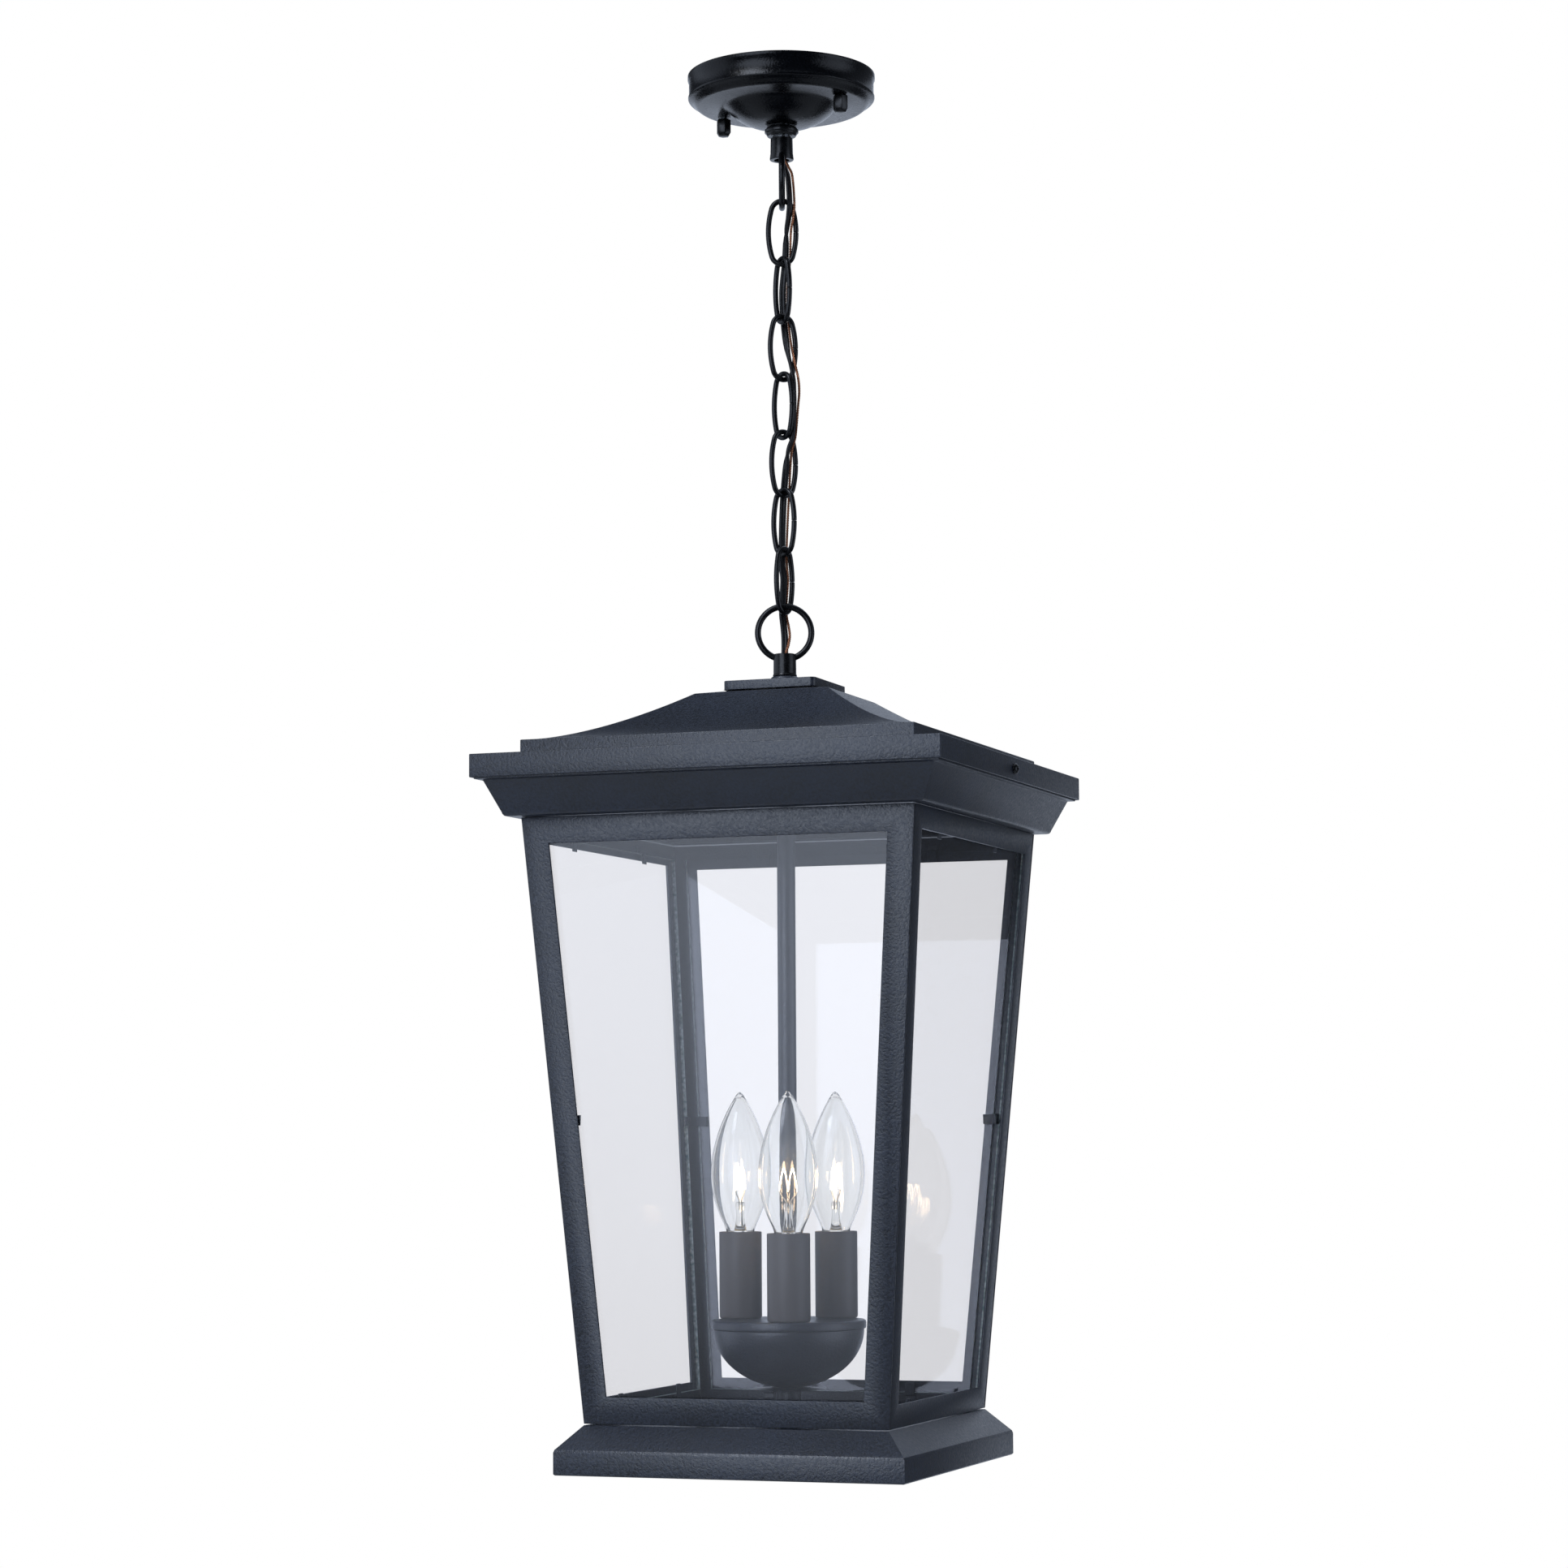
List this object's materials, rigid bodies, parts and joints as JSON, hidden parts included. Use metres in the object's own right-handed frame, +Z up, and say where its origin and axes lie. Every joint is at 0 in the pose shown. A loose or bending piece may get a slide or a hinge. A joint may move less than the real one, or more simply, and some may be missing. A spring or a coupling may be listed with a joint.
{
  "type": "hanging lantern",
  "caption": "Square tapered hanging lantern with a flared roof, clear glass sides and a candle cluster, on a chain and round ceiling canopy.",
  "frame": {"origin": "centre of the canopy's rim, in the plane of the ceiling", "axes": "+Z up, away from the hanging lantern; the front pane faces -Y and the right pane +X"},
  "size_m": [0.2906, 0.2856, 0.8374],
  "materials": {
    "black_coat": "fine-textured satin black powder coat on folded steel sheet",
    "black_wire": "satin black paint on steel wire, turned collars, nuts and screws",
    "candle_black": "matt black candle sleeve",
    "socket_phenolic": "moulded phenolic",
    "zinc_plate": "bright zinc plate",
    "plated_brass": "bright pressed brass",
    "pane_glass": "clear flat glass",
    "bulb_glass": "clear blown glass",
    "cord_jacket": "black vinyl twin flex",
    "bare_copper": "bare stranded copper"
  },
  "bodies": {
    "ceiling": {"crossbar": "zinc_plate", "canopy_stud_1": "zinc_plate", "canopy_stud_2": "zinc_plate", "ground_screw": "plated_brass", "canopy": "black_coat", "canopy_nipple": "zinc_plate", "nipple_nut": "zinc_plate", "canopy_collar": "black_wire", "canopy_coupler": "black_wire", "canopy_ring": "black_wire", "supply_cord": "cord_jacket", "ground_wire": "bare_copper"},
    "cap_nut_1": {"cap_nut_1": "black_wire"},
    "cap_nut_2": {"cap_nut_2": "black_wire"},
    "link_1": {"chain_link_1": "black_wire"},
    "link_2": {"chain_link_2": "black_wire"},
    "link_3": {"chain_link_3": "black_wire"},
    "link_4": {"chain_link_4": "black_wire"},
    "link_5": {"chain_link_5": "black_wire"},
    "link_6": {"chain_link_6": "black_wire"},
    "link_7": {"chain_link_7": "black_wire"},
    "roof": {"lantern_ring": "black_wire", "lantern_coupler": "black_wire", "coupler_seat": "black_coat", "cap_plate": "black_coat", "roof_shell": "black_coat", "rod_nut": "zinc_plate", "centre_rod": "black_coat", "cluster_cover": "black_coat", "cluster_bowl": "black_coat", "rod_finial": "black_coat", "candle_sleeve_1": "candle_black", "candle_sleeve_2": "candle_black", "candle_sleeve_3": "candle_black", "lamp_socket_1": "socket_phenolic", "lamp_socket_2": "socket_phenolic", "lamp_socket_3": "socket_phenolic"},
    "eave_screw_1": {"eave_screw_1": "black_wire"},
    "eave_screw_2": {"eave_screw_2": "black_wire"},
    "bulb_1": {"bulb_base_1": "plated_brass", "bulb_mount_1": "bulb_glass", "bulb_glass_1": "bulb_glass"},
    "bulb_2": {"bulb_base_2": "plated_brass", "bulb_mount_2": "bulb_glass", "bulb_glass_2": "bulb_glass"},
    "bulb_3": {"bulb_base_3": "plated_brass", "bulb_mount_3": "bulb_glass", "bulb_glass_3": "bulb_glass"},
    "cage": {"cove_frame": "black_coat", "frame_front": "black_coat", "frame_right": "black_coat", "frame_back": "black_coat", "frame_left": "black_coat", "pane_front": "pane_glass", "pane_right": "pane_glass", "pane_back": "pane_glass", "pane_left": "pane_glass", "base_skirt": "black_coat", "floor_plate": "black_coat"}
  },
  "joints": [
    {"name": "knot_1", "type": "hinge", "parent": "ceiling", "child": "link_1", "pos_m": [0, 0, -0.0812], "axis": [-0.342, 0.9397, 0], "range_deg": [-30, 30], "deforming": ["supply_cord", "ground_wire"]},
    {"name": "knot_2", "type": "hinge", "parent": "link_1", "child": "link_2", "pos_m": [0, 0, -0.11653], "axis": [0.9563, 0.2924, 0], "range_deg": [-30, 30]},
    {"name": "knot_3", "type": "hinge", "parent": "link_2", "child": "link_3", "pos_m": [0, 0, -0.15216], "axis": [0.766, -0.6428, 0], "range_deg": [-30, 30]},
    {"name": "knot_4", "type": "hinge", "parent": "link_3", "child": "link_4", "pos_m": [0, 0, -0.18779], "axis": [-0.7071, -0.7071, 0], "range_deg": [-30, 30]},
    {"name": "knot_5", "type": "hinge", "parent": "link_4", "child": "link_5", "pos_m": [0, 0, -0.22341], "axis": [-0.866, 0.5, 0], "range_deg": [-30, 30]},
    {"name": "knot_6", "type": "hinge", "parent": "link_5", "child": "link_6", "pos_m": [0, 0, -0.25904], "axis": [-0.6293, -0.7771, 0], "range_deg": [-30, 30]},
    {"name": "knot_7", "type": "hinge", "parent": "link_6", "child": "link_7", "pos_m": [0, 0, -0.29467], "axis": [0.9205, -0.3907, 0], "range_deg": [-30, 30]},
    {"name": "knot_8", "type": "hinge", "parent": "link_7", "child": "roof", "pos_m": [0, 0, -0.3303], "axis": [0.2419, 0.9703, 0], "range_deg": [-30, 30]},
    {"name": "cage_drop", "type": "slide", "parent": "roof", "child": "cage", "axis": [0, 0, -1], "range_m": [0, 0.38]},
    {"name": "cap_nut_1_turn", "type": "hinge", "parent": "ceiling", "child": "cap_nut_1", "pos_m": [-0.04255, 0.01285, -0.025], "axis": [0, 0, 1], "continuous": true},
    {"name": "cap_nut_2_turn", "type": "hinge", "parent": "ceiling", "child": "cap_nut_2", "pos_m": [0.04255, -0.01285, -0.025], "axis": [0, 0, 1], "continuous": true},
    {"name": "eave_screw_1_turn", "type": "hinge", "parent": "roof", "child": "eave_screw_1", "pos_m": [-0.14285, 0, -0.4305], "axis": [-1, 0, 0], "continuous": true},
    {"name": "eave_screw_2_turn", "type": "hinge", "parent": "roof", "child": "eave_screw_2", "pos_m": [0.14285, 0, -0.4305], "axis": [1, 0, 0], "continuous": true},
    {"name": "bulb_1_turn", "type": "hinge", "parent": "roof", "child": "bulb_1", "pos_m": [0.01129, -0.03101, -0.701], "axis": [0, 0, 1], "continuous": true},
    {"name": "bulb_2_turn", "type": "hinge", "parent": "roof", "child": "bulb_2", "pos_m": [0.02121, 0.02528, -0.701], "axis": [0, 0, 1], "continuous": true},
    {"name": "bulb_3_turn", "type": "hinge", "parent": "roof", "child": "bulb_3", "pos_m": [-0.0325, 0.00573, -0.701], "axis": [0, 0, 1], "continuous": true}
  ]
}
